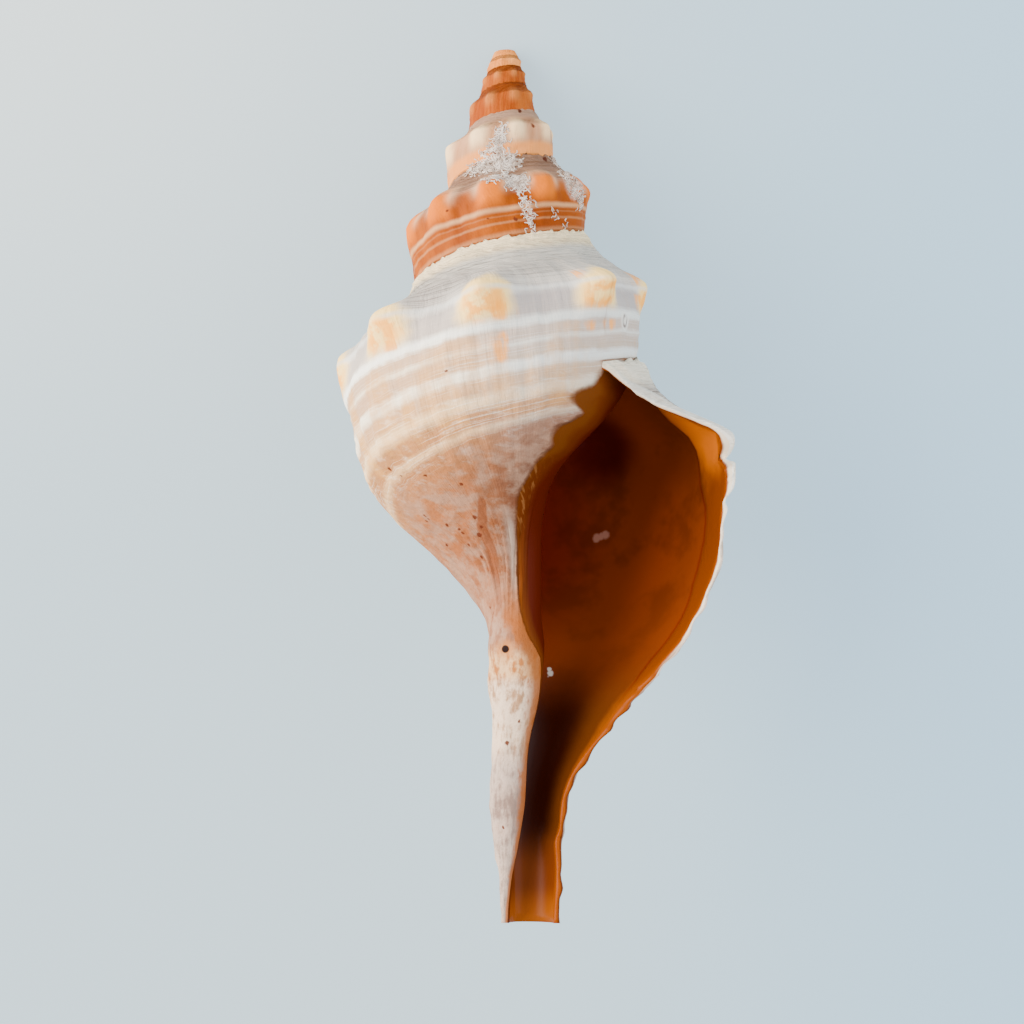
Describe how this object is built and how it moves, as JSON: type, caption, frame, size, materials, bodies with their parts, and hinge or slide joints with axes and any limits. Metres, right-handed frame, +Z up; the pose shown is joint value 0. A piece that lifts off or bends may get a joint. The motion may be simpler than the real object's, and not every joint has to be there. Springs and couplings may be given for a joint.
{
  "type": "horse conch seashell",
  "caption": "Horse conch seashell with a tall knobbed spire, a flaring open aperture and a long siphonal canal, lying on its back with the aperture up.",
  "frame": {"origin": "centre of the bounding box's bottom face, on the surface that the shell lies on", "axes": "+Z up; +Y from the canal towards the apex, level; +X towards the lip. The coiling axis lies in the YZ plane within a few degrees, with the apex down and the canal raised about 26 degrees"},
  "size_m": [0.092, 0.1894, 0.0843],
  "materials": {
    "shell": "natural lime of a sea-worn shell: pinkish tan outside with white cords and orange knobs, glossy red-brown inside the aperture, satin to matt outside"
  },
  "bodies": {
    "root": {"shell": "shell"}
  },
  "joints": []
}
